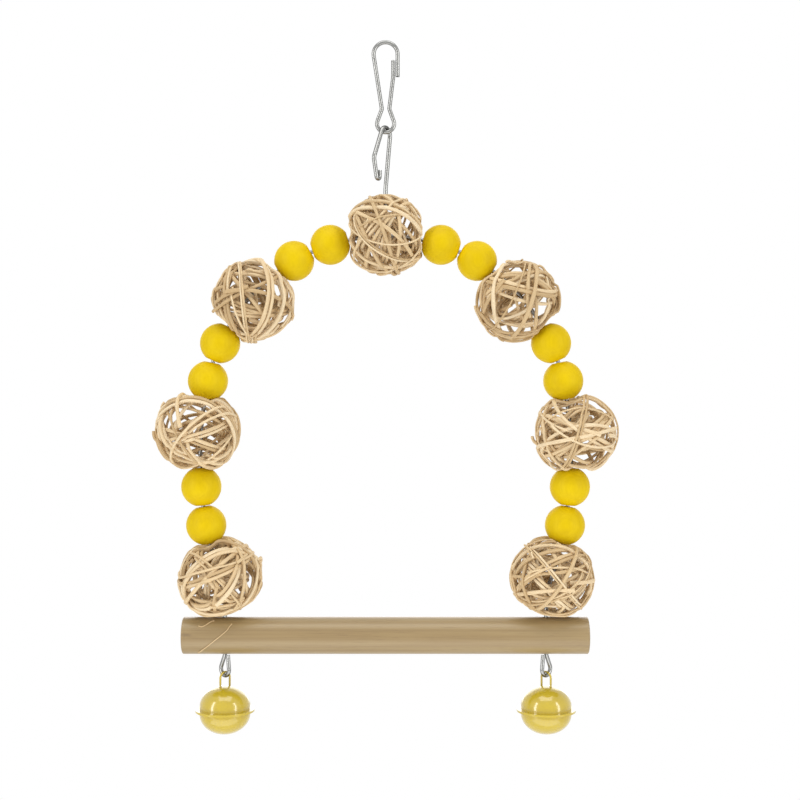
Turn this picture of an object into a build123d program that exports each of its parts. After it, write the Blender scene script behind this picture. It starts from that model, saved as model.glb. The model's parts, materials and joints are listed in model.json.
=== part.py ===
"""A hanging swing for a cage bird: a bent wire arch strung with wooden beads and wound rattan balls.

The arch carries a dowel perch with a jingle bell under each end, and hangs by a wire eye from a sprung
wire hook. Millimetres and degrees. +Z is up and +X runs along the perch. The origin is the top of the
inside of the hook's bow, where the bar that the swing hangs from lies.
"""
from build123d import *

import os
from math import asin, atan2, cos, degrees, dist, floor, hypot, pi, radians, sin, sqrt

# Clearances
seat_gap = 0.3          # between neighbours strung on the arch, and between the last ball and the perch
link_gap = 0.2          # between two wires that hang in each other
wire_hole_gap = 0.2     # round a wire in a drilled hole

# Snap hook: a bow above, a waist, a loop below
hook_wire = 1.5
bow_inside = 3.75
nose_length = 8.4
leg_lean = 8.7
waist_gap = 1.4
waist_bend = 1.6
loop_flare = 20.0
loop_inside = 2.45

# Gate: the hook's sprung end, lapping inside the nose
gate_lean = 7.0
gate_bend = 4.0
gate_lap = 6.0
nose_gap = 0.15
gate_slit = 0.3

# Hanger eye: a long eye whose free leg spreads to a knee, tucks in and turns up beside the stem
eye_wire = 1.6
eye_inside = 2.0
eye_plane = 55.0        # its plane, turned from the hook's
eye_lean = 8.0
eye_foot_bend = 3.0
leg_spread = 25.0
leg_length = 10.6
knee_bend = 3.0
knee_tuck = 14.0        # how far the leg leans in below the knee
tip_bend = 1.0
tip_length = 2.2
tip_gap = 2.2           # between the turned-up tip and the stem
stem_show = 2.6         # stem in sight between the eye and the top ball

# Arch wire
arch_wire_size = 1.5
crown_radius = 68.0
crown_turn = 78.5       # each side of the middle
toe_turn = 18.6
toe_radius = 35.0
toe_run = 3.0           # straight above the perch
end_eye_inside = 1.65
end_eye_plane = 45.0
end_eye_spread = 26.0
end_eye_bend = 1.2
end_eye_gap = 0.3       # from the end of the wire to the shank beside it and the perch above it

# Beads
bead_diameter = 15.0
bead_length = 14.0
bead_bore = 2.8
bead_edge = 0.4
beads_between = 2

# Rattan balls: an outer and an inner winding of vine
ball_diameter = 30.0
strand = 1.4
layer_step = 2.6
strand_gap = 0.6
outer_loops = 8
outer_tilt = 66.0
inner_loops = 5
inner_tilt = 48.0
layer_swap = 13.0       # how far before and after its turning point a loop changes layer
balls_per_side = 3
ball_spin = 77.0        # each ball is turned this much from the one before
winding_samples = 600
outline_samples = 90

# Perch
perch_diameter = 13.8
perch_overhang = 15.6
perch_edge = 0.4

# Jingle bells
bell_diameter = 19.0
bell_wall = 0.5
bell_rim = 1.4
bell_dome = 7.6
flange_reach = 1.6
flange_thickness = 0.4
slot_length = 12.0
slot_width = 1.6
slot_end = 2.6
eyelet_wire = 0.8
eyelet_inside = 1.8
eyelet_rise = 5.6       # top of the eyelet above the bell
eyelet_foot = 1.2
eyelet_foot_bend = 0.8
pellet_diameter = 5.0

UP = Vector(0, 0, 1)
DOWN = Vector(0, 0, -1)
FRONT = Vector(0, -1, 0)
RIGHT = Vector(1, 0, 0)


def bent_path(point, heading, axis, *steps):
    """Points of a bent wire: a number is a straight run, a pair is a bend's radius and turn about axis."""
    path = []
    for step in steps:
        if isinstance(step, tuple):
            radius, turn = step
            side = 1 if turn > 0 else -1
            centre = point + axis.cross(heading) * (side * radius)
            spoke = point - centre
            pivot = Axis((0, 0, 0), axis)
            end = centre + spoke.rotate(pivot, turn)
            path.append((point, centre + spoke.rotate(pivot, turn / 2), end))
            heading = heading.rotate(pivot, turn)
        else:
            end = point + heading * step
            path.append((point, end))
        point = end
    return path


def turned_back(path):
    return [stretch[::-1] for stretch in reversed(path)]


def draw_path(path):
    for stretch in path:
        if len(stretch) == 3:
            ThreePointArc(*stretch)
        else:
            Line(*stretch)


def sweep_round(route, diameter):
    """Sweep a round section along the drawn route, into the part being built."""
    wire = route.wire()
    with BuildSketch(Plane(origin=wire @ 0, z_dir=wire % 0)) as section:
        Circle(diameter / 2)
    sweep(section.sketch, path=wire)
    return wire


def save(part, name):
    part.label = name
    export_step(part, f"parts/{name}.step")


def flat_direction(angle):
    return Vector(cos(radians(angle)), sin(radians(angle)), 0)


def end_eye(inside, wire):
    """Bends and depth of a closed eye at the end of a wire that comes straight down."""
    radius = inside + wire / 2
    spread = radians(end_eye_spread)
    drop = (radius + end_eye_bend * (1 - cos(spread))) / sin(spread)
    leg = drop * cos(spread) - end_eye_bend * sin(spread)
    tip_aside = wire + end_eye_gap
    tip_rise = drop - end_eye_gap
    tip_reach = hypot(tip_aside, tip_rise)
    tip_lean = degrees(asin(radius / tip_reach) - atan2(tip_aside, tip_rise))
    bends = (
        (end_eye_bend, end_eye_spread),
        leg,
        (radius, -180 - end_eye_spread - tip_lean),
        sqrt(tip_reach**2 - radius**2),
    )
    return bends, drop, radius


def winding_point(turn, loops, tilt, inner, outer):
    """A point of a winding about Z: each loop climbs on the inner layer and comes down on the outer one."""
    rise = asin(sin(radians(tilt)) * sin(turn))
    around = atan2(cos(radians(tilt)) * sin(turn), cos(turn)) + 2 * pi * floor(turn / (2 * pi) + 0.5)
    around -= turn / loops
    layer = max(-1, min(1, cos(turn) / sin(radians(layer_swap))))
    radius = (inner + outer) / 2 - (outer - inner) / 2 * sin(layer * pi / 2)
    flat = radius * cos(rise)
    return Vector(flat * cos(around), flat * sin(around), radius * sin(rise))


def draw_winding(place, loops, tilt, inner, outer):
    """Draw a winding on its place as one chain of tangent arcs."""
    swap = radians(layer_swap)
    stops = (0, pi / 2 - swap, pi / 2 + swap, pi, 1.5 * pi - swap, 1.5 * pi + swap)
    turns = [2 * pi * loop + stop for loop in range(loops) for stop in stops]
    nudge = 1e-4

    def point_at(turn):
        return place.from_local_coords(winding_point(turn, loops, tilt, inner, outer))

    def heading_at(turn):
        return (point_at(turn + nudge) - point_at(turn - nudge)).normalized()

    for turn, next_turn in zip(turns, turns[1:]):
        start, end = point_at(turn), point_at(next_turn)
        start_heading, end_heading = heading_at(turn), heading_at(next_turn)
        chord = end - start
        along = chord.dot(start_heading + end_heading)
        bend = 2 * (1 - start_heading.dot(end_heading))
        reach = (sqrt(along**2 + bend * chord.dot(chord)) - along) / bend
        first = start + start_heading * reach
        second = end - end_heading * reach
        middle = (first + second) / 2
        TangentArc(start, middle, tangent=start_heading)
        TangentArc(middle, end, tangent=second - first)


def least_gap(wire, diameter):
    """The least room between two stretches of a tube, measured on points along it."""
    points = [tuple(wire.position_at(count / winding_samples)) for count in range(winding_samples + 1)]
    apart = round(4 * diameter * winding_samples / wire.length)
    nearest = min(
        dist(points[near], points[far])
        for near in range(len(points))
        for far in range(near + apart, len(points))
    )
    return nearest - diameter


os.makedirs("parts", exist_ok=True)

# Snap hook
hook_radius = hook_wire / 2
bow_radius = bow_inside + hook_radius
loop_radius = loop_inside + hook_radius
waist = waist_gap / 2 + hook_radius
lean, flare = radians(leg_lean), radians(loop_flare)
leg_run = (bow_radius * cos(lean) - waist_bend * (1 - cos(lean)) - waist) / sin(lean)
flare_run = (loop_radius * cos(flare) - waist_bend * (1 - cos(flare)) - waist) / sin(flare)
waist_z = -bow_inside - (bow_radius + waist_bend) * sin(lean) - leg_run * cos(lean)
loop_z = waist_z - (waist_bend + loop_radius) * sin(flare) - flare_run * cos(flare)
hook_bottom = loop_z - loop_radius

with BuildPart() as snap_hook:
    with BuildLine() as hook_route:
        draw_path(
            bent_path(
                Vector(bow_radius, 0, -bow_inside - nose_length),
                UP,
                FRONT,
                nose_length,
                (bow_radius, 180 + leg_lean),
                leg_run,
                (waist_bend, -leg_lean - loop_flare),
                flare_run,
                (loop_radius, 180 + 2 * loop_flare),
                flare_run,
                (waist_bend, -loop_flare),
            )
        )
    sweep_round(hook_route, hook_wire)
save(snap_hook.part, "snap_hook")

# Gate
gate_x = bow_radius - hook_wire - nose_gap
gate_turn = radians(gate_lean)
gate_run = (gate_x - waist - (waist_bend + gate_bend) * (1 - cos(gate_turn))) / sin(gate_turn)

with BuildPart() as snap_hook_gate:
    with BuildLine() as gate_route:
        draw_path(
            bent_path(
                Vector(waist, 0, waist_z + gate_slit),
                UP,
                FRONT,
                (waist_bend, -gate_lean),
                gate_run,
                (gate_bend, gate_lean),
                gate_lap,
            )
        )
    sweep_round(gate_route, hook_wire)
save(snap_hook_gate.part, "snap_hook_gate")

# Hanger eye: the long eye above, the stem, and the ring round the arch wire's crown
eye_radius = eye_inside + eye_wire / 2
eye_top = hook_bottom + hook_radius + link_gap + eye_wire / 2
slant, spread, tuck = radians(eye_lean), radians(leg_spread), radians(knee_tuck)
eye_run = (eye_radius * cos(slant) - eye_foot_bend * (1 - cos(slant))) / sin(slant)
eye_drop = (eye_radius + eye_foot_bend) * sin(slant) + eye_run * cos(slant)
eye_foot = eye_top - eye_radius - eye_drop
knee_out = eye_radius * cos(spread) + leg_length * sin(spread) + knee_bend * (cos(tuck) - cos(spread))
tip_out = eye_wire + tip_gap
tuck_run = (knee_out - tip_bend * (1 + cos(tuck)) - tip_out) / sin(tuck)
ring_inside = arch_wire_size / 2 + link_gap
ring_bends, ring_drop, _ = end_eye(ring_inside, eye_wire)
crown_z = eye_foot - stem_show - ball_diameter / 2
eye_across = flat_direction(eye_plane)

eye_path = bent_path(
    Vector(0, 0, eye_foot),
    UP,
    UP.cross(eye_across),
    (eye_foot_bend, eye_lean),
    eye_run,
    (eye_radius, -180 - eye_lean + leg_spread),
    leg_length,
    (knee_bend, -leg_spread - knee_tuck),
    tuck_run,
    (tip_bend, -180 + knee_tuck),
    tip_length,
)
ring_path = bent_path(
    Vector(0, 0, eye_foot),
    DOWN,
    DOWN.cross(-FRONT),
    eye_foot - crown_z - ring_drop,
    *ring_bends,
)

with BuildPart() as hanger_eye:
    with BuildLine() as eye_route:
        draw_path(turned_back(eye_path) + ring_path)
    sweep_round(eye_route, eye_wire)
save(hanger_eye.part, "hanger_eye")

# The winding of a ball, and its outline in section
strand_radius = strand / 2
outer_reach = ball_diameter / 2 - strand_radius
inner_reach = outer_reach - layer_step - strand - strand_gap
outer_winding = (outer_loops, outer_tilt, outer_reach - layer_step, outer_reach)
inner_winding = (inner_loops, inner_tilt, inner_reach - layer_step, inner_reach)
outline_turns = [2 * pi * step / outline_samples for step in range(outline_samples)]
outline_points = [winding_point(turn, *outer_winding) for turn in outline_turns]
ball_outline = [(point.Z, hypot(point.X, point.Y)) for point in outline_points]
bead_flat = sqrt((bead_diameter / 2) ** 2 - (bead_length / 2) ** 2)


def arch_place(bends, distance):
    """Place on the arch's right side at a distance from the crown: across, height, heading below level."""
    across, height, heading = 0.0, crown_z, 0.0
    for radius, turn in bends:
        used = min(distance, radius * turn)
        next_heading = heading + used / radius
        across += radius * (sin(next_heading) - sin(heading))
        height += radius * (cos(next_heading) - cos(heading))
        heading = next_heading
        distance -= used
    return across + distance * cos(heading), height - distance * sin(heading), heading


def offset_from(place, other):
    """How far other lies along and beside the wire at place."""
    across, height = other[0] - place[0], other[1] - place[1]
    along = across * cos(place[2]) - height * sin(place[2])
    beside = across * sin(place[2]) + height * cos(place[2])
    return along, beside


def room_at_ball(ball_place, bead_place):
    along, beside = offset_from(ball_place, bead_place)
    nearest = min(hypot(abs(along) - axial, abs(beside) - radial) for axial, radial in ball_outline)
    return nearest - strand_radius - bead_diameter / 2


def room_between_beads(place, next_place):
    along, beside = offset_from(next_place, place)
    turn = next_place[2] - place[2]
    return -along - bead_length / 2 * (1 + cos(turn)) - bead_flat * sin(turn)


slide_halvings = 40


def thread_side(bends):
    """Distances from the crown of a side's balls and beads, each slid up against the one before."""
    seats = [("ball", 0.0)]
    for kind in (["bead"] * beads_between + ["ball"]) * balls_per_side:
        last_kind, last_distance = seats[-1]
        last_place = arch_place(bends, last_distance)
        near, far = last_distance, last_distance + ball_diameter + bead_diameter
        for _ in range(slide_halvings):
            distance = (near + far) / 2
            place = arch_place(bends, distance)
            if kind == last_kind:
                room = room_between_beads(last_place, place)
            elif kind == "ball":
                room = room_at_ball(place, last_place)
            else:
                room = room_at_ball(last_place, place)
            near, far = (near, distance) if room > seat_gap else (distance, far)
        seats.append((kind, far))
    return seats


# The arch: its side radius is the one at which the strung pieces fill the wire down to the perch
side_turn = radians(90 + toe_turn - crown_turn)
side_radius = 2 * crown_radius
arch_passes = 20
for _ in range(arch_passes):
    arch_bends = [
        (crown_radius, radians(crown_turn)),
        (side_radius, side_turn),
        (-toe_radius, -radians(toe_turn)),
    ]
    side_seats = thread_side(arch_bends)
    last_ball = arch_place(arch_bends, side_seats[-1][1])
    tip = last_ball[2] - pi / 2
    ball_depth = max(axial * cos(tip) + radial * sin(tip) for axial, radial in ball_outline)
    perch_top = last_ball[1] - ball_depth - strand_radius - seat_gap
    arch_length = sum(radius * turn for radius, turn in arch_bends)
    hole_x, toe_z, _ = arch_place(arch_bends, arch_length)
    side_radius += (toe_z - toe_run - perch_top) / side_turn
perch_z = perch_top - perch_diameter / 2
perch_bottom = perch_top - perch_diameter
print(f"side radius {side_radius:.2f}, holes {2 * hole_x:.2f} apart")
print(f"crown at {crown_z:.2f}, perch at {perch_z:.2f}")

arch_radius = arch_wire_size / 2
end_bends, end_drop, end_radius = end_eye(end_eye_inside, arch_wire_size)
end_across = flat_direction(end_eye_plane)
arch_end_bottom = perch_bottom - end_drop - end_radius

half_arch = bent_path(
    Vector(0, 0, crown_z),
    RIGHT,
    -FRONT,
    (crown_radius, crown_turn),
    (side_radius, 90 + toe_turn - crown_turn),
    (toe_radius, -toe_turn),
)
shank_path = bent_path(
    half_arch[-1][-1],
    DOWN,
    DOWN.cross(end_across),
    toe_z - perch_bottom,
    *end_bends,
)

with BuildPart() as arch_wire:
    with BuildLine() as arch_route:
        draw_path(half_arch + shank_path)
    sweep_round(arch_route, arch_wire_size)
    mirror(about=Plane.YZ)
save(arch_wire.part, "arch_wire")

# Perch
perch_length = 2 * (hole_x + perch_overhang)
with BuildPart() as perch:
    with BuildSketch(Plane.YZ.offset(-perch_length / 2)):
        with Locations((0, perch_z)):
            Circle(perch_diameter / 2)
    extrude(amount=perch_length)
    fillet(perch.edges().filter_by(GeomType.CIRCLE), perch_edge)
    with BuildSketch(Plane.XY.offset(perch_z)):
        with Locations((-hole_x, 0), (hole_x, 0)):
            Circle(arch_radius + wire_hole_gap)
    extrude(amount=perch_diameter, both=True, mode=Mode.SUBTRACT)
save(perch.part, "perch")


def seat_plane(distance, spin=0.0):
    """A plane at a signed distance from the crown whose Z runs along the wire, from left to right."""
    across, height, heading = arch_place(arch_bends, abs(distance))
    side = 1 if distance >= 0 else -1
    along = Vector(cos(heading), 0, -side * sin(heading))
    turned = (-FRONT).rotate(Axis((0, 0, 0), along), spin)
    return Plane(origin=(side * across, 0, height), x_dir=turned, z_dir=along)


def open_angle(loops):
    """Angle from where a winding crosses the ball's belt to the middle of the opening beside it."""
    return 90 / loops if loops % 2 == 0 else 180 / loops


seats = [(kind, -distance) for kind, distance in reversed(side_seats[1:])] + side_seats
bead_seats = [distance for kind, distance in seats if kind == "bead"]
ball_seats = [distance for kind, distance in seats if kind == "ball"]

# Beads
for number, distance in enumerate(bead_seats, start=1):
    bead_plane = seat_plane(distance)
    with BuildPart() as bead:
        with BuildSketch(Plane(origin=bead_plane.origin, x_dir=bead_plane.x_dir, z_dir=-bead_plane.y_dir)):
            with BuildLine():
                ThreePointArc(
                    (bead_flat, -bead_length / 2),
                    (bead_diameter / 2, 0),
                    (bead_flat, bead_length / 2),
                )
                Polyline(
                    (bead_flat, bead_length / 2),
                    (bead_bore / 2, bead_length / 2),
                    (bead_bore / 2, -bead_length / 2),
                    (bead_flat, -bead_length / 2),
                )
            make_face()
        revolve(axis=Axis(bead_plane.origin, bead_plane.z_dir))
        fillet(bead.edges().filter_by(GeomType.CIRCLE), bead_edge)
    save(bead.part, f"bead_{number}")

# Rattan balls
for number, distance in enumerate(ball_seats, start=1):
    steps_from_top = number - 1 - balls_per_side
    gaps = []
    with BuildPart() as rattan_ball:
        for winding in (outer_winding, inner_winding):
            stem_opening = 90 - open_angle(winding[0])
            with BuildLine() as vine_route:
                draw_winding(seat_plane(distance, stem_opening + ball_spin * steps_from_top), *winding)
            vine = sweep_round(vine_route, strand)
            gaps.append(least_gap(vine, strand))
    save(rattan_ball.part, f"rattan_ball_{number}")
    print(f"rattan_ball_{number}: least gap between strands {min(gaps):.2f}")

# Jingle bells
bell_radius = bell_diameter / 2
eyelet_radius = eyelet_inside + eyelet_wire / 2
eyelet_top = arch_end_bottom + arch_radius + link_gap + eyelet_wire / 2
bell_top = eyelet_top + eyelet_wire / 2 - eyelet_rise
bell_z = bell_top - bell_rim - bell_dome
foot_reach = eyelet_radius + eyelet_foot_bend + eyelet_foot
inside_radius, inside_dome = bell_radius - bell_wall, bell_dome - bell_wall
foot_roof = bell_z + bell_rim + inside_dome * sqrt(1 - (foot_reach / inside_radius) ** 2)
foot_z = foot_roof - link_gap - eyelet_wire / 2
eyelet_leg = eyelet_top - eyelet_radius - foot_z - eyelet_foot_bend
pellet_z = bell_z - bell_rim - inside_dome + seat_gap + pellet_diameter / 2


def draw_half(plane):
    """The section of a bell's half, from the flange's meeting face up to the dome."""
    with BuildSketch(plane) as half:
        with BuildLine():
            Polyline(
                (inside_radius, bell_rim),
                (inside_radius, 0),
                (bell_radius + flange_reach, 0),
                (bell_radius + flange_reach, flange_thickness),
                (bell_radius, flange_thickness),
                (bell_radius, bell_rim),
            )
            EllipticalCenterArc((0, bell_rim), bell_radius, bell_dome, arc_size=90)
            Line((0, bell_rim + bell_dome), (0, bell_rim + inside_dome))
            EllipticalCenterArc((0, bell_rim), inside_radius, inside_dome, arc_size=90)
        make_face()
    return half.sketch


def eyelet_half(bell_x, way):
    """Half of an eyelet, from its top down one side to the foot inside the bell."""
    return bent_path(
        Vector(bell_x, 0, eyelet_top),
        way,
        way.cross(DOWN),
        (eyelet_radius, 90),
        eyelet_leg,
        (eyelet_foot_bend, -90),
        eyelet_foot,
    )


for side_name, side in (("left", -1), ("right", 1)):
    bell_x = side * hole_x
    bell_axis = Axis((bell_x, 0, bell_z), (0, 0, 1))
    eyelet_across = flat_direction(90 + side * end_eye_plane)

    with BuildPart() as bell_upper:
        upper_plane = Plane(origin=(bell_x, 0, bell_z), x_dir=(1, 0, 0), z_dir=(0, -1, 0))
        revolve(draw_half(upper_plane), axis=bell_axis)
        with BuildSketch(Plane(origin=(bell_x, 0, bell_top), z_dir=(0, 0, 1))):
            leg_place = eyelet_across * eyelet_radius
            with Locations((leg_place.X, leg_place.Y), (-leg_place.X, -leg_place.Y)):
                Circle(eyelet_wire / 2 + wire_hole_gap)
        extrude(amount=-bell_dome, mode=Mode.SUBTRACT)
    save(bell_upper.part, f"{side_name}_bell_upper")

    with BuildPart() as bell_lower:
        lower_plane = Plane(origin=(bell_x, 0, bell_z), x_dir=(1, 0, 0), z_dir=(0, 1, 0))
        revolve(draw_half(lower_plane), axis=bell_axis)
        with BuildSketch(Plane(origin=(bell_x, 0, bell_z - bell_rim - bell_dome), z_dir=(0, 0, 1))):
            SlotOverall(slot_length, slot_width)
            with GridLocations(slot_length - slot_end, 0, 2, 1):
                Circle(slot_end / 2)
        extrude(amount=bell_dome, mode=Mode.SUBTRACT)
    save(bell_lower.part, f"{side_name}_bell_lower")

    with BuildPart() as bell_eyelet:
        with BuildLine() as eyelet_route:
            draw_path(turned_back(eyelet_half(bell_x, -eyelet_across)) + eyelet_half(bell_x, eyelet_across))
        sweep_round(eyelet_route, eyelet_wire)
    save(bell_eyelet.part, f"{side_name}_bell_eyelet")

    with BuildPart(Plane(origin=(bell_x, 0, pellet_z))) as bell_pellet:
        Sphere(pellet_diameter / 2)
    save(bell_pellet.part, f"{side_name}_bell_pellet")
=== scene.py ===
"""Looks of a bird swing: an arch of yellow beads and wound vine balls over a wooden perch with two bells.

Lengths are in metres. The wire, beads, perch and bells keep their own solids and get a finish here.
Each vine ball is wound again, strand by strand, in the space that its solid holds.
"""

import json
import math

import bpy
import numpy as np
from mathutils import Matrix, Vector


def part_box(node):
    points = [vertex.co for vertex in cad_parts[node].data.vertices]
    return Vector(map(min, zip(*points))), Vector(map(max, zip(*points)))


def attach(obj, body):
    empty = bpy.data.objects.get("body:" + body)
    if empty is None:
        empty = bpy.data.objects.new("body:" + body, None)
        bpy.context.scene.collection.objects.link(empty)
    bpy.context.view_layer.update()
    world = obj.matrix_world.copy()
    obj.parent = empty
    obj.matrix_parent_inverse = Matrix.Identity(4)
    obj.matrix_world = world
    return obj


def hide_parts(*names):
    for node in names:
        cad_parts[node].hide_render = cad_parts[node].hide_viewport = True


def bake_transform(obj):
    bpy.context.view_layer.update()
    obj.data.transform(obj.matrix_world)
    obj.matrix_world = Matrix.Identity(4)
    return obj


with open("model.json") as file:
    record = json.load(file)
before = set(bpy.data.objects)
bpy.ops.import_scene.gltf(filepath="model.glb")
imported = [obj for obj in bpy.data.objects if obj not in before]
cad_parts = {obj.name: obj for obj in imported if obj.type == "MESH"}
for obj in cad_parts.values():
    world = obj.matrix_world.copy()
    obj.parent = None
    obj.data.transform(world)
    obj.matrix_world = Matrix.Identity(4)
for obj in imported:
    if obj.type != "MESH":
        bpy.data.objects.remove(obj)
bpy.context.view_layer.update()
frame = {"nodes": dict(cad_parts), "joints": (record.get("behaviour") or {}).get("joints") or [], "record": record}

MM = 0.001

# Vine balls
BALL_RADIUS = 16.1 * MM
BEAD_RADIUS = 7.5 * MM
STEM_RADIUS = 0.80 * MM
SEAT_GAP = 0.25 * MM                # between a ball and the beads and the perch beside it
SEATED_WITHIN = 1.5 * BALL_RADIUS   # a ball whose middle is this near to the perch rests on it
LEAST_FALL = 0.05                   # a course that falls by a smaller share than this can't meet the perch
WIRE_GAP = 0.40 * MM                # between a strand and the wire through its ball
GAP_SLACK = 0.05 * MM               # how much of that gap a strand may lose as it settles
FIRST_SEED = 41

# Courses of the strands
STRAND_STEP = math.radians(3.0)
STRAND_TURNS = (0.95, 1.25)
COURSE_OFFSET = 0.35                # how far beside the middle a course may lie, as a share of its radius
COURSE_DRIFT = (0.10, 0.30)         # how far a course turns away in one round, in radians
COURSE_WOBBLE = 0.02
WOBBLE_WAVES = (2, 4)
WAVE_STARTS = (0, 6)                # where along itself a wave may start, in radians
POLE_PASS = math.radians(6.0)       # a strand that hugs the wire passes at most this far beyond its room
POLE_SHARES = (0.2, 1.0)
HUG_SIDES = ((0.0, -1.0, 0.0), (0.0, 1.0, 0.0))
TWIN_SHARE = 0.35
TWIN_GAP = 0.15 * MM

# Rise and fall of the strands
RISE_HEIGHT = 0.30 * MM
RISE_WAVES = (2, 5)
LOOSE_SHARE = 0.28
LOOSE_LIFT = 1.6 * MM
LOOSE_LIFT_SHARES = (0.5, 1.2)
LOOSE_SPAN = math.radians(16.0)
TUCK_DEPTH = 2.2 * MM
SETTLE_PASSES = 160
SMOOTHING = 0.30
HOME_PULL = 0.03
MEETING_REACH = 0.26                # strands whose directions are this near may meet, in radians
STRAIGHT_REACH = math.radians(40.0)  # a strand can't meet itself within this angle along its course

# Shape of a strand
STRAND_SIDES = 12
STRAND_ROUNDNESS = 0.8
STRAND_GROOVES = (-0.10, 0.06)
STRAND_SWELLS = ((0.07, 3.1 * MM), (0.05, 1.3 * MM))
STRAND_GIRTH = 1.6                  # the way round a strand, as a share of its width and height together
STRAND_SOFT_EDGE = math.radians(50.0)
GRAIN_SHIFT = 0.37 * MM             # how far each vertex before a strand moves that strand's grain
STRAND_END_GRAIN = (MM / 9, MM / 7, MM / 5)

# Each layer of a ball: strands, those of them that hug the wire, home radius, width, flatness
VINE_LAYERS = (
    (6, 0, (7.5 * MM, 10.5 * MM), (1.0 * MM, 1.4 * MM), 0.80),
    (8, 1, (12.0 * MM, 13.4 * MM), (1.1 * MM, 1.5 * MM), 0.80),
    (9, 4, (14.3 * MM, 15.2 * MM), (1.2 * MM, 1.6 * MM), 0.80),
    (5, 2, (14.6 * MM, 15.4 * MM), (0.6 * MM, 1.0 * MM), 0.85),
)

# The side that an uneven ball bulges to, as a direction in the arch's plane, and by how much
BULGES = {
    1: ((0.50, -0.85), 0.8 * MM),
    2: ((-0.77, 0.64), 1.6 * MM),
    3: ((0.64, -0.77), 2.2 * MM),
    4: ((0.0, 1.0), 0.4 * MM),
    5: ((-0.45, -0.90), 2.2 * MM),
    6: ((1.0, 0.0), 2.2 * MM),
    7: ((0.30, -0.95), 0.4 * MM),
}

# Fibres that have shed onto the perch: places along the perch and above or below its axis
FIBRE_WIDTH = 0.35 * MM
FIBRE_STEPS = 40
FIBRE_TONE = 0.35
SHED_FIBRES = (
    ((-57.0 * MM, 5.1 * MM), (-58.3 * MM, 3.4 * MM), (-60.2 * MM, 1.6 * MM), (-69.7 * MM, -5.9 * MM)),
    ((-69.3 * MM, 4.45 * MM), (-67.3 * MM, 4.45 * MM), (-65.4 * MM, 5.5 * MM), (-63.7 * MM, 6.0 * MM)),
)

# Bend of the hook's wire, where its sprung gate starts
BEND_RADIUS = 0.755 * MM
BEND_LENGTH = 0.70 * MM
BEND_SIDES = 32
BEND_EDGE = 0.02 * MM
BEND_SOFT_EDGE = math.radians(40.0)
GATE_LEAN = math.radians(7.0)

# A small stain on the perch: its middle and its reach along each axis
STAIN_PLACE = (-73.9 * MM, -6.6 * MM, -220.3 * MM)
STAIN_REACH = (3.4 * MM, 3.0 * MM, 0.8 * MM)

# Camera and stage
VIEW_SPAN = 0.300
VIEW_DISTANCE = 0.50
VIEW_CENTRE = (0.0054, 0.0, -0.1334)
SENSOR = 36.0
FLOOR_Z = -0.500
FLOOR_RADIUS = 0.62
FLOOR_SIDES = 96
FLOOR_FADE = (0.35 * FLOOR_RADIUS, 0.98 * FLOOR_RADIUS)
AMBIENT = 0.55                      # how much of the white studio's light falls on the swing

# Soft lights, which face the middle of the view: name, place, width and height, power
SOFT_LIGHTS = (
    ("left_strip", (-0.92, -0.66, 0.05), (0.20, 1.10), 5.2),
    ("right_strip", (0.92, -0.66, 0.05), (0.20, 1.10), 4.7),
    ("overhead", (0.0, -0.25, 0.80), (0.90, 0.70), 4.7),
    ("behind", (0.0, 1.10, 0.10), (1.20, 0.90), 5.0),
    ("underside", (0.0, -0.18, -0.47), (0.80, 0.40), 1.2),
)


def srgb(red, green, blue):
    """The linear colour of a screen colour that is given in steps of 0 to 255."""
    def channel(step):
        share = step / 255
        return share / 12.92 if share <= 0.04045 else ((share + 0.055) / 1.055) ** 2.4

    return (channel(red), channel(green), channel(blue), 1.0)


class Socket:
    """An output of a node. Plain arithmetic on it adds the Math nodes that it needs."""

    def __init__(self, nodes, output):
        self.nodes = nodes
        self.output = output

    def math(self, operation, first, second):
        return self.nodes.add("ShaderNodeMath", {"operation": operation}, {0: first, 1: second})

    def __add__(self, other):
        return self.math("ADD", self, other)

    def __radd__(self, other):
        return self.math("ADD", other, self)

    def __sub__(self, other):
        return self.math("SUBTRACT", self, other)

    def __rsub__(self, other):
        return self.math("SUBTRACT", other, self)

    def __mul__(self, other):
        return self.math("MULTIPLY", self, other)

    def __rmul__(self, other):
        return self.math("MULTIPLY", other, self)


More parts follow.
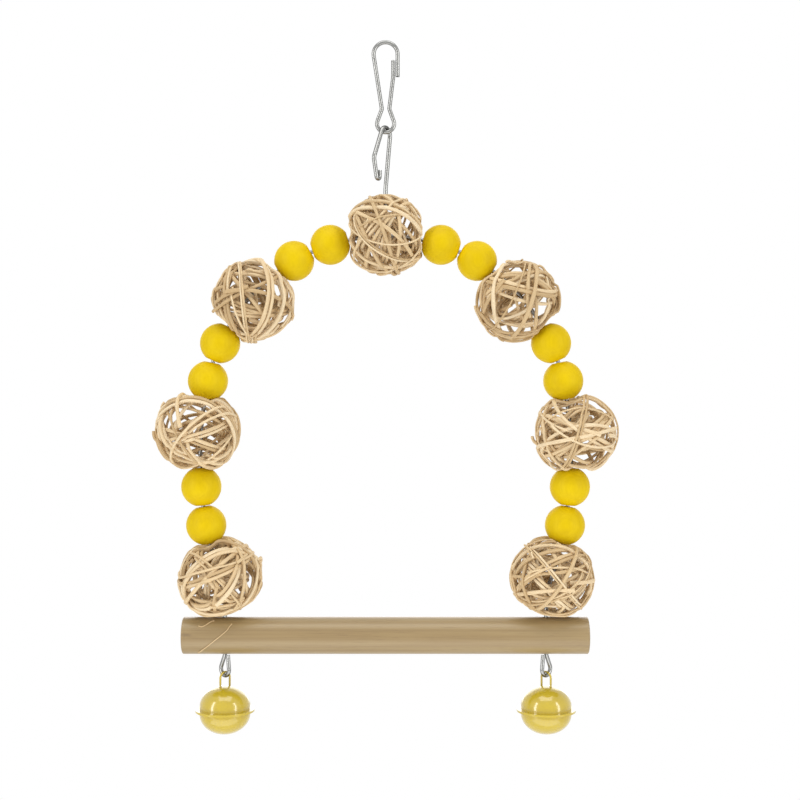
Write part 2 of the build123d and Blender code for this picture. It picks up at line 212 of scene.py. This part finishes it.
class Nodes:
    """The node tree of one finish, or of the world."""

    def __init__(self, tree):
        self.tree = tree

    def add(self, kind, settings=None, inputs=None, out=0):
        """Adds a node, sets its settings first and then its sockets, and gives one of its outputs."""
        node = self.tree.nodes.new(kind)
        for name, value in (settings or {}).items():
            if name == "stops":
                self.set_stops(node.color_ramp, value)
            else:
                setattr(node, name, value)
        for name, value in (inputs or {}).items():
            self.plug(node.inputs[name], value)
        return Socket(self, node.outputs[out])

    def plug(self, socket, value):
        """Links an output to a socket, or sets the socket's own value."""
        if isinstance(value, Socket):
            self.tree.links.new(value.output, socket)
        else:
            socket.default_value = value

    def set_stops(self, ramp, stops):
        """Gives a colour ramp its stops, each a place and a colour."""
        while len(ramp.elements) < len(stops):
            ramp.elements.new(1.0)
        for element, (place, colour) in zip(ramp.elements, stops):
            element.position = place
            element.color = colour

    def ramp(self, factor, *stops):
        return self.add("ShaderNodeValToRGB", {"stops": stops}, {"Fac": factor}, "Color")

    def mix(self, factor, first, second):
        return self.add("ShaderNodeMix", {"data_type": "RGBA"}, {0: factor, 6: first, 7: second}, 2)

    def stretch(self, vector, scale, turn=(0.0, 0.0, 0.0)):
        inputs = {"Vector": vector, "Scale": scale, "Rotation": turn}
        return self.add("ShaderNodeMapping", None, inputs, "Vector")

    def noise(self, vector, scale, detail=2.0, roughness=0.5, distortion=0.0):
        inputs = {
            "Vector": vector,
            "Scale": scale,
            "Detail": detail,
            "Roughness": roughness,
            "Distortion": distortion,
        }
        return self.add("ShaderNodeTexNoise", None, inputs, "Fac")

    def step(self, value, low, high):
        """0 below low, 1 above high, with a soft rise between them."""
        settings = {"interpolation_type": "SMOOTHSTEP"}
        return self.add("ShaderNodeMapRange", settings, {"Value": value, "From Min": low, "From Max": high})

    def bump(self, height, strength, distance):
        inputs = {"Height": height, "Strength": strength, "Distance": distance}
        return self.add("ShaderNodeBump", None, inputs, "Normal")


def new_finish(name):
    """A new material, its node tree, and its shader's sockets."""
    material = bpy.data.materials.new(name)
    material.use_nodes = True
    shader = material.node_tree.nodes["Principled BSDF"]
    return material, Nodes(material.node_tree), shader.inputs


def nickel_wire():
    """Nickel on spring wire: a little cloudy, with a gloss that darkens at its edges."""
    material, nodes, shader = new_finish("nickel_wire")
    place = nodes.add("ShaderNodeTexCoord", out="Object")
    cloud = nodes.noise(place, 160.0, detail=2.0)
    nodes.plug(shader["Base Color"], nodes.mix(cloud, srgb(128, 128, 126), srgb(168, 168, 165)))
    nodes.plug(shader["Roughness"], 0.14 + cloud * 0.10)
    shader["Metallic"].default_value = 1.0
    shader["Specular Tint"].default_value = (0.10, 0.10, 0.10, 1.0)
    return material


def steel_pellet():
    """Bare tumbled steel."""
    material, nodes, shader = new_finish("steel_pellet")
    place = nodes.add("ShaderNodeTexCoord", out="Object")
    scuff = nodes.noise(place, 1600.0, detail=5.0, roughness=0.65)
    nodes.plug(shader["Base Color"], nodes.mix(scuff, srgb(120, 118, 114), srgb(172, 170, 166)))
    nodes.plug(shader["Roughness"], 0.30 + scuff * 0.25)
    nodes.plug(shader["Normal"], nodes.bump(scuff, 0.15, 0.03 * MM))
    shader["Metallic"].default_value = 1.0
    return material


def perch_wood():
    """Waxed pale dowel: long bands and fibres, short dark pores, a small stain and dull ends."""
    material, nodes, shader = new_finish("perch_wood")
    place = nodes.add("ShaderNodeTexCoord", out="Object")
    slow = nodes.noise(nodes.stretch(place, (9.0, 60.0, 60.0)), 1.0, detail=2.0)
    bands = nodes.noise(nodes.stretch(place, (6.0, 420.0, 420.0)), 1.0, detail=3.0, distortion=0.3)
    fibres = nodes.noise(nodes.stretch(place, (40.0, 2600.0, 2600.0)), 1.0, detail=4.0, roughness=0.6)
    pores = nodes.noise(nodes.stretch(place, (150.0, 3600.0, 3600.0)), 1.0, detail=1.0)
    pore_mask = nodes.step(pores, 0.66, 0.74)
    tone = bands * 0.55 + fibres * 0.30 + slow * 0.25
    wood = nodes.ramp(
        tone,
        (0.36, srgb(127, 103, 64)),
        (0.50, srgb(144, 120, 77)),
        (0.60, srgb(152, 129, 86)),
        (0.74, srgb(162, 140, 99)),
    )
    stain_scale = tuple(1 / reach for reach in STAIN_REACH)
    shift = nodes.add("ShaderNodeVectorMath", {"operation": "SUBTRACT"}, {0: place, 1: STAIN_PLACE}, "Vector")
    from_stain = nodes.add(
        "ShaderNodeVectorMath", {"operation": "LENGTH"}, {0: nodes.stretch(shift, stain_scale)}, "Value"
    )
    stain = 1 - nodes.step(from_stain + fibres * 0.8, 0.6, 1.4)
    worn = nodes.mix(pore_mask * 0.35, wood, srgb(118, 93, 62))
    stained = nodes.mix(stain * 0.45, worn, srgb(96, 76, 54))
    outward = nodes.add("ShaderNodeTexCoord", out="Normal")
    outward_along = nodes.add("ShaderNodeSeparateXYZ", None, {"Vector": outward}, "X")
    end_grain = nodes.step(outward_along * outward_along, 0.4, 0.8)
    nodes.plug(shader["Base Color"], nodes.mix(end_grain * 0.3, stained, srgb(104, 80, 48)))
    nodes.plug(shader["Roughness"], 0.50 + fibres * 0.22 + pore_mask * 0.1 + end_grain * 0.25)
    nodes.plug(shader["Coat Weight"], 0.8 - end_grain * 0.8)
    height = fibres * 0.6 + bands * 0.3 - pore_mask * 0.5
    nodes.plug(shader["Normal"], nodes.bump(height, 0.35, 0.08 * MM))
    shader["Coat Roughness"].default_value = 0.30
    return material


def bead_paint():
    """Satin yellow over turned wood, with the grain just showing and a few dull scuffs."""
    material, nodes, shader = new_finish("bead_paint")
    place = nodes.add("ShaderNodeTexCoord", out="Object")
    patch = nodes.noise(place, 130.0, detail=2.0)
    grain = nodes.noise(nodes.stretch(place, (900.0, 2400.0, 300.0), (0.3, 0.5, 0.2)), 1.0, detail=4.0)
    scuff = nodes.noise(place, 900.0, detail=5.0, roughness=0.7)
    tone = patch * 0.6 + grain * 0.4
    paint = nodes.ramp(
        tone,
        (0.34, srgb(211, 178, 3)),
        (0.50, srgb(218, 186, 5)),
        (0.66, srgb(224, 193, 10)),
    )
    nodes.plug(shader["Base Color"], paint)
    nodes.plug(shader["Roughness"], 0.40 + scuff * 0.20)
    nodes.plug(shader["Normal"], nodes.bump(grain * 0.5 + scuff * 0.5, 0.12, 0.05 * MM))
    shader["Specular IOR Level"].default_value = 0.12
    return material


def bell_lacquer():
    """Thick glossy yellow lacquer on pressed steel, gently uneven, with small specks in it."""
    material, nodes, shader = new_finish("bell_lacquer")
    place = nodes.add("ShaderNodeTexCoord", out="Object")
    flow = nodes.noise(place, 160.0, detail=2.0)
    peel = nodes.noise(place, 1500.0, detail=2.0)
    specks = nodes.step(nodes.noise(place, 2600.0, detail=1.0), 0.72, 0.78)
    lacquer = nodes.mix(flow, srgb(186, 160, 18), srgb(198, 174, 35))
    nodes.plug(shader["Base Color"], nodes.mix(specks * 0.25, lacquer, srgb(160, 126, 20)))
    nodes.plug(shader["Roughness"], 0.20 + flow * 0.10)
    nodes.plug(shader["Normal"], nodes.bump(flow * 0.5 + peel * 0.5, 0.12, 0.05 * MM))
    shader["Coat Weight"].default_value = 1.0
    shader["Coat Roughness"].default_value = 0.06
    return material


def dry_vine():
    """Bare dry vine: each strand has its own tone, long pale fibres, dark cracks and scattered spots."""
    material, nodes, shader = new_finish("dry_vine")
    strand = nodes.add("ShaderNodeUVMap", {"uv_map": "strand"})
    tone = nodes.add("ShaderNodeAttribute", {"attribute_name": "tone"}, None, "Fac")
    along = nodes.noise(nodes.stretch(strand, (160.0, 900.0, 1.0)), 1.0, detail=2.0)
    fibres = nodes.noise(nodes.stretch(strand, (220.0, 6500.0, 1.0)), 1.0, detail=4.0, roughness=0.6)
    cracks = nodes.noise(nodes.stretch(strand, (130.0, 3800.0, 1.0)), 1.0, detail=2.0)
    crack_mask = nodes.step(cracks, 0.62, 0.72)
    spots = nodes.step(nodes.noise(nodes.stretch(strand, (900.0, 1300.0, 1.0)), 1.0), 0.68, 0.76)
    shade = tone * 0.5 + along * 0.25 + fibres * 0.25
    vine = nodes.ramp(
        shade,
        (0.25, srgb(190, 161, 117)),
        (0.45, srgb(211, 184, 141)),
        (0.60, srgb(223, 198, 157)),
        (0.78, srgb(232, 212, 177)),
    )
    worn = nodes.mix(crack_mask * 0.4, vine, srgb(160, 128, 84))
    nodes.plug(shader["Base Color"], nodes.mix(spots * 0.3, worn, srgb(166, 134, 90)))
    nodes.plug(shader["Roughness"], 0.52 + fibres * 0.3)
    height = fibres * 0.5 + along * 0.3 - crack_mask * 0.6
    nodes.plug(shader["Normal"], nodes.bump(height, 0.5, 0.10 * MM))
    return material


def unit(vectors):
    """The same vectors at length 1."""
    return vectors / np.linalg.norm(vectors, axis=-1, keepdims=True)


def turned(vectors, axis, angles):
    """Vectors turned about an axis, each by its own angle."""
    cosines = np.cos(angles)[:, None]
    sines = np.sin(angles)[:, None]
    along = (vectors @ axis)[:, None] * axis
    return vectors * cosines + np.cross(axis, vectors) * sines + along * (1 - cosines)


def eased(share):
    """A soft rise from 0 to 1."""
    share = np.clip(share, 0.0, 1.0)
    return share * share * (3 - 2 * share)


class VineBall:
    """Where a ball sits, the way its wire runs, and what its strands keep clear of."""

    def __init__(self, number, body, centre, axis, seed):
        self.number = number
        self.body = body
        self.centre = np.array(centre)
        self.axis = unit(np.array(axis))
        self.random = np.random.default_rng(seed)
        self.kept_off = []
        self.beads = []
        self.ground = None

    def keep_off(self, direction, room):
        """No edge of a strand comes within this room of the line from the middle in a direction."""
        self.kept_off.append((unit(np.array(direction)), room))

    def is_open(self, course, radius, width, slack=0.0):
        """Whether a strand keeps clear of the wires, or falls short of the gap by no more than the slack."""
        for direction, room in self.kept_off:
            towards = course @ direction
            aside = radius * np.sqrt(np.clip(1 - towards**2, 0, 1))
            if aside[towards > 0].min(initial=BALL_RADIUS) < room + width / 2 - slack:
                return False
        return True

    def seat_bead(self, place):
        """A bead beside the ball, by its distance along the axis and away from it."""
        offset = np.array(place) - self.centre
        along = offset @ self.axis
        self.beads.append((along, np.linalg.norm(offset - along * self.axis)))

    def ceiling(self, course, half_height, limit):
        """The largest radius at which a strand clears the beads and the perch, however the ball has spun."""
        along = course @ self.axis
        around = np.sqrt(np.clip(1 - along**2, 0, 1))
        ceiling = limit - half_height
        for bead_along, bead_around in self.beads:
            reach = BEAD_RADIUS + SEAT_GAP + half_height
            towards = along * bead_along + around * bead_around
            inside = towards**2 - (bead_along**2 + bead_around**2 - reach**2)
            met = (inside > 0) & (towards > 0)
            surface = towards - np.sqrt(np.clip(inside, 0, None))
            ceiling = np.where(met, np.minimum(ceiling, surface), ceiling)
        if self.ground is not None:
            drop = self.centre[2] - self.ground - SEAT_GAP - half_height
            lean = math.sqrt(1 - self.axis[2] ** 2)
            downward = -along * self.axis[2] + around * lean
            below = np.where(downward > LEAST_FALL, drop / np.clip(downward, LEAST_FALL, None), ceiling)
            ceiling = np.minimum(ceiling, below)
        return ceiling


def any_side(ball):
    """A chance direction square to the wire through a ball."""
    return unit(np.cross(ball.axis, ball.random.normal(size=3)))


def hugging_side(ball, index):
    """The side on which a strand passes the wire: in front for the first, behind for the second, then any."""
    return np.array(HUG_SIDES[index]) if index < len(HUG_SIDES) else any_side(ball)


def strand_course(ball, radius, width, side):
    """Directions of a strand that is wound round a ball. One with a side hugs the wire there if it can."""
    random = ball.random
    steps = np.arange(0.0, random.uniform(*STRAND_TURNS) * 2 * math.pi, STRAND_STEP)
    while True:
        normal = unit(random.normal(size=3))
        offset = random.uniform(-COURSE_OFFSET, COURSE_OFFSET)
        drift = random.uniform(*COURSE_DRIFT) / (2 * math.pi)
        if side is not None:
            room = max(room for _, room in ball.kept_off)
            lift = math.asin((room + width / 2) / radius) + random.uniform(*POLE_SHARES) * POLE_PASS
            normal = side * math.cos(lift) + ball.axis * math.sin(lift)
            offset = 0.0
            drift = 0.0
        start = unit(np.cross(normal, random.normal(size=3)))
        wobble = random.uniform(0.0, COURSE_WOBBLE) * np.sin(
            steps * random.integers(*WOBBLE_WAVES) + random.uniform(*WAVE_STARTS)
        )
        ring = turned(np.tile(start, (len(steps), 1)), normal, steps)
        lean = (offset + wobble)[:, None]
        circle = ring * np.sqrt(1 - lean**2) + normal * lean
        drift_axis = unit(np.cross(normal, random.normal(size=3)))
        course = turned(circle, drift_axis, steps * drift)
        if ball.is_open(course, radius, width):
            return course
        if side is not None:
            side = any_side(ball)


def twin_course(course, shift):
    """A course beside another one, by an angle."""
    side = unit(np.cross(course, np.gradient(course, axis=0)))
    return course * math.cos(shift) + side * math.sin(shift)


class Strand:
    """One strand of a ball: its course, the radius that it tends to, its size and the most it can rise to."""

    def __init__(self, ball, course, radius, width, flatness):
        random = ball.random
        turns = np.arange(len(course)) * STRAND_STEP
        side, bulge = BULGES[ball.number]
        swell = bulge * (course @ np.array((side[0], 0.0, side[1])))
        rise = RISE_HEIGHT * np.sin(turns * random.integers(*RISE_WAVES) + random.uniform(*WAVE_STARTS))
        limit = BALL_RADIUS + swell
        self.course = course
        self.width = width
        self.height = width * flatness
        self.home = radius + rise + swell * radius / BALL_RADIUS
        for distance in (turns, turns[-1] - turns):
            end = eased(1 - distance / LOOSE_SPAN)
            if random.uniform() < LOOSE_SHARE:
                self.home = self.home + end * LOOSE_LIFT * random.uniform(*LOOSE_LIFT_SHARES)
                limit = limit + end * LOOSE_LIFT
            else:
                self.home = self.home - end * TUCK_DEPTH
        self.ceiling = ball.ceiling(course, self.height / 2, limit)
        self.radius = np.minimum(self.home, self.ceiling)


def settle(strands):
    """Moves strands in and out until they pass over and under each other without cutting."""
    counts = [len(strand.course) for strand in strands]
    strand_of = np.repeat(np.arange(len(strands)), counts)
    course = np.concatenate([strand.course for strand in strands])
    radius = np.concatenate([strand.radius for strand in strands])
    home = np.concatenate([strand.home for strand in strands])
    ceiling = np.concatenate([strand.ceiling for strand in strands])
    width = np.repeat([strand.width for strand in strands], counts)
    height = np.repeat([strand.height for strand in strands], counts)
    place = np.arange(len(course))
    first, second = np.nonzero(np.triu(course @ course.T > math.cos(MEETING_REACH), 1))
    far_apart = (second - first) * STRAND_STEP > STRAIGHT_REACH
    kept = (strand_of[first] != strand_of[second]) | far_apart
    first = first[kept]
    second = second[kept]
    gap = np.linalg.norm(course[first] - course[second], axis=1)
    mean_radius = (radius[first] + radius[second]) / 2
    share = gap * mean_radius / ((width[first] + width[second]) / 2)
    met = share < 1
    first = first[met]
    second = second[met]
    needed = (height[first] + height[second]) / 2 * np.sqrt(1 - share[met] ** 2)
    order = np.where(radius[first] >= radius[second], 1.0, -1.0)
    meetings = np.bincount(first, minlength=len(place)) + np.bincount(second, minlength=len(place))
    meetings = np.maximum(1, meetings)
    before = np.where(np.roll(strand_of, 1) == strand_of, place - 1, place)
    after = np.where(np.roll(strand_of, -1) == strand_of, place + 1, place)
    for _ in range(SETTLE_PASSES):
        short = np.clip(needed - order * (radius[first] - radius[second]), 0, None) * order / 2
        push = np.bincount(first, short, len(place)) - np.bincount(second, short, len(place))
        radius = radius + push / np.sqrt(meetings)
        radius = radius + SMOOTHING * ((radius[before] + radius[after]) / 2 - radius)
        radius = radius + HOME_PULL * (home - radius)
        radius = np.minimum(radius, ceiling)
    for strand, settled in zip(strands, np.split(radius, np.cumsum(counts)[:-1])):
        strand.radius = settled


def strand_mesh(points, outward, width, height, random):
    """Vertices, faces and their places along and round one strand, with grooves along it and closed ends."""
    along = unit(np.gradient(points, axis=0))
    side = unit(np.cross(along, outward))
    up = np.cross(side, along)
    turns = np.linspace(0, 2 * math.pi, STRAND_SIDES, endpoint=False)
    grooves = 1 + random.uniform(*STRAND_GROOVES, STRAND_SIDES)
    runs = np.concatenate([[0], np.cumsum(np.linalg.norm(np.diff(points, axis=0), axis=1))])
    swell = np.ones(len(points))
    for share, length in STRAND_SWELLS:
        swell = swell + share * np.sin(runs / length + random.uniform(*WAVE_STARTS))
    flat = np.sign(np.cos(turns)) * np.abs(np.cos(turns)) ** STRAND_ROUNDNESS * grooves
    high = np.sign(np.sin(turns)) * np.abs(np.sin(turns)) ** STRAND_ROUNDNESS * grooves
    rings = (
        points[:, None, :]
        + side[:, None, :] * (swell[:, None] * flat * width / 2)[:, :, None]
        + up[:, None, :] * (swell[:, None] * high * height / 2)[:, :, None]
    )
    rows = len(points)
    vertices = np.concatenate([rings.reshape(-1, 3), points[:1], points[-1:]])
    around = (width + height) * STRAND_GIRTH
    faces = []
    places = []
    for row in range(rows - 1):
        for column in range(STRAND_SIDES):
            across = (column + 1) % STRAND_SIDES
            faces.append((
                row * STRAND_SIDES + column,
                row * STRAND_SIDES + across,
                (row + 1) * STRAND_SIDES + across,
                (row + 1) * STRAND_SIDES + column,
            ))
            left = column / STRAND_SIDES * around
            right = (column + 1) / STRAND_SIDES * around
            places += [
                (runs[row], left),
                (runs[row], right),
                (runs[row + 1], right),
                (runs[row + 1], left),
            ]
    last = (rows - 1) * STRAND_SIDES
    for column in range(STRAND_SIDES):
        across = (column + 1) % STRAND_SIDES
        faces.append((rows * STRAND_SIDES, across, column))
        faces.append((rows * STRAND_SIDES + 1, last + column, last + across))
        places += [(0.0, column * grain) for grain in STRAND_END_GRAIN] * 2
    return vertices, faces, places


def join_strands(name, strands):
    """One mesh object from several strands, with a UV map along them and a tone for each."""
    vertices = []
    faces = []
    places = []
    tones = []
    for strand_vertices, strand_faces, strand_places, tone in strands:
        start = len(vertices)
        vertices += strand_vertices.tolist()
        faces += [tuple(corner + start for corner in face) for face in strand_faces]
        shift = GRAIN_SHIFT * len(tones)
        places += [(run + shift, turn + shift) for run, turn in strand_places]
        tones += [tone] * len(strand_vertices)
    mesh = bpy.data.meshes.new(name)
    mesh.from_pydata(vertices, [], faces)
    mesh.uv_layers.new(name="strand").data.foreach_set("uv", np.array(places).ravel())
    mesh.attributes.new("tone", "FLOAT", "POINT").data.foreach_set("value", tones)
    piece = bpy.data.objects.new(name, mesh)
    bpy.context.scene.collection.objects.link(piece)
    bpy.ops.object.select_all(action="DESELECT")
    bpy.context.view_layer.objects.active = piece
    piece.select_set(True)
    bpy.ops.object.shade_smooth_by_angle(angle=STRAND_SOFT_EDGE)
    return piece


def wind_ball(ball, finish):
    """Winds one vine ball: deep strands first, then the ones that show, then a few fine ones."""
    random = ball.random
    strands = []
    for count, hugging, radii, widths, flatness in VINE_LAYERS:
        for index in range(count):
            radius = random.uniform(*radii)
            width = random.uniform(*widths)
            side = hugging_side(ball, index) if index < hugging else None
            course = strand_course(ball, radius, width, side)
            strands.append(Strand(ball, course, radius, width, flatness))
            if random.uniform() < TWIN_SHARE:
                twin_width = random.uniform(*widths)
                shift = ((width + twin_width) / 2 + TWIN_GAP) / radius
                course = twin_course(course, shift)
                if ball.is_open(course, radius, twin_width):
                    strands.append(Strand(ball, course, radius, twin_width, flatness))
    settle(strands)
    meshes = []
    for strand in strands:
        if not ball.is_open(strand.course, strand.radius, strand.width, GAP_SLACK):
            continue
        points = ball.centre + strand.course * strand.radius[:, None]
        mesh = strand_mesh(points, strand.course, strand.width, strand.height, random)
        meshes.append(mesh + (random.uniform(),))
    piece = join_strands(f"vine_ball_{ball.number}", meshes)
    piece.data.materials.append(finish)
    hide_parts(f"rattan_ball_{ball.number}")
    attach(piece, ball.body)


def shed_fibre(number, places, finish):
    """A fibre that lies on the front of the perch."""
    low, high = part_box("perch")
    middle = (np.array(low) + np.array(high)) / 2
    reach = (high.z - low.z) / 2 + FIBRE_WIDTH / 2
    corners = np.array(places)
    shares = np.linspace(0, 1, len(corners))
    bend = np.polyfit(shares, corners, len(corners) - 1)
    along, above = np.array([np.polyval(bend[:, axis], np.linspace(0, 1, FIBRE_STEPS)) for axis in (0, 1)])
    outward = np.stack([0 * above, -np.sqrt(reach**2 - above**2), above], axis=1)
    points = outward + np.stack([along, 0 * along + middle[1], 0 * along + middle[2]], axis=1)
    random = np.random.default_rng(FIRST_SEED - number)
    mesh = strand_mesh(points, unit(outward), FIBRE_WIDTH, FIBRE_WIDTH, random)
    piece = join_strands(f"shed_fibre_{number}", [mesh + (FIBRE_TONE,)])
    piece.data.materials.append(finish)
    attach(piece, "arch")


def wire_reach(ball, direction):
    """How far the outside of the bent wire strays from a ball's axis on its way out of the ball."""
    vertices = np.array([vertex.co for vertex in frame["nodes"]["arch_wire"].data.vertices])
    offset = vertices - ball.centre
    along = offset @ direction
    aside = np.linalg.norm(offset - along[:, None] * direction, axis=1)
    return aside[(along > 0) & (along < BALL_RADIUS) & (aside < BALL_RADIUS / 2)].max()


def find_balls():
    """The balls from the frame's joints: the one at the crown rides on the hanger and the others spin."""
    joints = {joint["name"]: joint for joint in frame["joints"]}
    bodies = frame["record"]["behaviour"]["bodies"]
    names = sorted(name for name in frame["nodes"] if name.startswith("rattan_ball_"))
    perch_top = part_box("perch")[1].z
    balls = []
    for name in names:
        body = next(body for body, members in bodies.items() if name in members)
        joint = joints.get(f"{name}_spin", joints["front_swing"])
        number = int(name.rsplit("_", 1)[1])
        ball = VineBall(number, body, joint["pos_m"], joint["axis"], FIRST_SEED + number)
        at_crown = joint["name"] == "front_swing"
        for direction in (ball.axis, -ball.axis):
            ball.keep_off(direction, wire_reach(ball, direction) + WIRE_GAP)
        if at_crown:
            ball.keep_off((0.0, 0.0, 1.0), STEM_RADIUS + WIRE_GAP)
        for other in frame["joints"]:
            away = np.linalg.norm(np.array(other["pos_m"]) - ball.centre)
            if other["name"].startswith("bead_") and away < BALL_RADIUS + 2 * BEAD_RADIUS:
                ball.seat_bead(other["pos_m"])
        if ball.centre[2] - perch_top < SEATED_WITHIN:
            ball.ground = perch_top
        balls.append(ball)
    return balls


def finish_nodes(wire):
    """Gives each solid that stays in sight its finish."""
    wood = perch_wood()
    paint = bead_paint()
    lacquer = bell_lacquer()
    steel = steel_pellet()
    for name, node in frame["nodes"].items():
        if name.startswith("bead_"):
            finish = paint
        elif name.startswith("perch"):
            finish = wood
        elif "pellet" in name:
            finish = steel
        elif "bell" in name:
            finish = lacquer
        else:
            finish = wire
        node.data.materials.clear()
        node.data.materials.append(finish)


def bend_gate(finish):
    """The short bend of the hook's wire from which its gate springs, so that hook and gate are one wire."""
    joint = next(joint for joint in frame["joints"] if joint["name"] == "gate_flex")
    middle = np.array(joint["pos_m"])
    bpy.ops.object.select_all(action="DESELECT")
    bpy.ops.mesh.primitive_cylinder_add(
        vertices=BEND_SIDES,
        radius=BEND_RADIUS,
        depth=BEND_LENGTH,
        location=tuple(middle),
        rotation=(0.0, GATE_LEAN, 0.0),
    )
    piece = bpy.context.object
    piece.name = "gate_bend"
    bpy.ops.object.transform_apply(location=True, rotation=True, scale=True)
    rims = piece.modifiers.new("rims", "BEVEL")
    rims.width = BEND_EDGE
    rims.segments = 1
    rims.limit_method = "ANGLE"
    bpy.ops.object.modifier_apply(modifier="rims")
    bpy.ops.object.shade_smooth_by_angle(angle=BEND_SOFT_EDGE)
    piece.data.materials.append(finish)
    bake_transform(piece)


def set_stage():
    """A pale floor well below the swing, which fades out at its edge, and a white studio round it."""
    bpy.ops.object.select_all(action="DESELECT")
    bpy.ops.mesh.primitive_circle_add(
        vertices=FLOOR_SIDES, radius=FLOOR_RADIUS, fill_type="NGON", location=(0, 0, FLOOR_Z)
    )
    floor = bpy.context.object
    floor.name = "floor"
    material, nodes, shader = new_finish("pale_floor")
    place = nodes.add("ShaderNodeTexCoord", out="Object")
    from_middle = nodes.add("ShaderNodeVectorMath", {"operation": "LENGTH"}, {0: place}, "Value")
    nodes.plug(shader["Alpha"], 1 - nodes.step(from_middle, *FLOOR_FADE))
    shader["Base Color"].default_value = (0.86, 0.86, 0.86, 1.0)
    shader["Roughness"].default_value = 0.9
    floor.data.materials.append(material)

    world = bpy.data.worlds.new("studio")
    bpy.context.scene.world = world
    world.use_nodes = True
    nodes = Nodes(world.node_tree)
    background = world.node_tree.nodes["Background"].inputs
    camera_ray = nodes.add("ShaderNodeLightPath", out="Is Camera Ray")
    glossy_ray = nodes.add("ShaderNodeLightPath", out="Is Glossy Ray")
    glass_ray = nodes.add("ShaderNodeLightPath", out="Is Transmission Ray")
    background["Color"].default_value = (1.0, 1.0, 1.0, 1.0)
    nodes.plug(background["Strength"], AMBIENT + (1 - AMBIENT) * (camera_ray + glossy_ray + glass_ray))


def light_studio():
    """Two tall strips in front, left and right, and wide lights overhead, behind and, weakly, below."""
    for name, place, size, power in SOFT_LIGHTS:
        light = bpy.data.lights.new(name, "AREA")
        light.shape = "RECTANGLE"
        light.size, light.size_y = size
        light.energy = power
        lamp = bpy.data.objects.new(name, light)
        bpy.context.scene.collection.objects.link(lamp)
        away = unit(np.array(place) - np.array(VIEW_CENTRE))
        lamp.location = place
        lamp.rotation_euler = (math.acos(away[2]), 0.0, math.atan2(away[0], -away[1]))
        lamp.visible_camera = False


def set_camera():
    """A camera close in front of the swing, level with its middle."""
    camera = bpy.data.cameras.new("camera")
    camera.sensor_width = SENSOR
    camera.lens = SENSOR * VIEW_DISTANCE / VIEW_SPAN
    view = bpy.data.objects.new("camera", camera)
    bpy.context.scene.collection.objects.link(view)
    view.location = (VIEW_CENTRE[0], VIEW_CENTRE[1] - VIEW_DISTANCE, VIEW_CENTRE[2])
    view.rotation_euler = (math.radians(90), 0.0, 0.0)
    bpy.context.scene.camera = view


bpy.context.scene.view_settings.view_transform = "Standard"
wire = nickel_wire()
finish_nodes(wire)
bend_gate(wire)
vine = dry_vine()
for ball in find_balls():
    wind_ball(ball, vine)
for number, places in enumerate(SHED_FIBRES, 1):
    shed_fibre(number, places, vine)
set_stage()
light_studio()
set_camera()
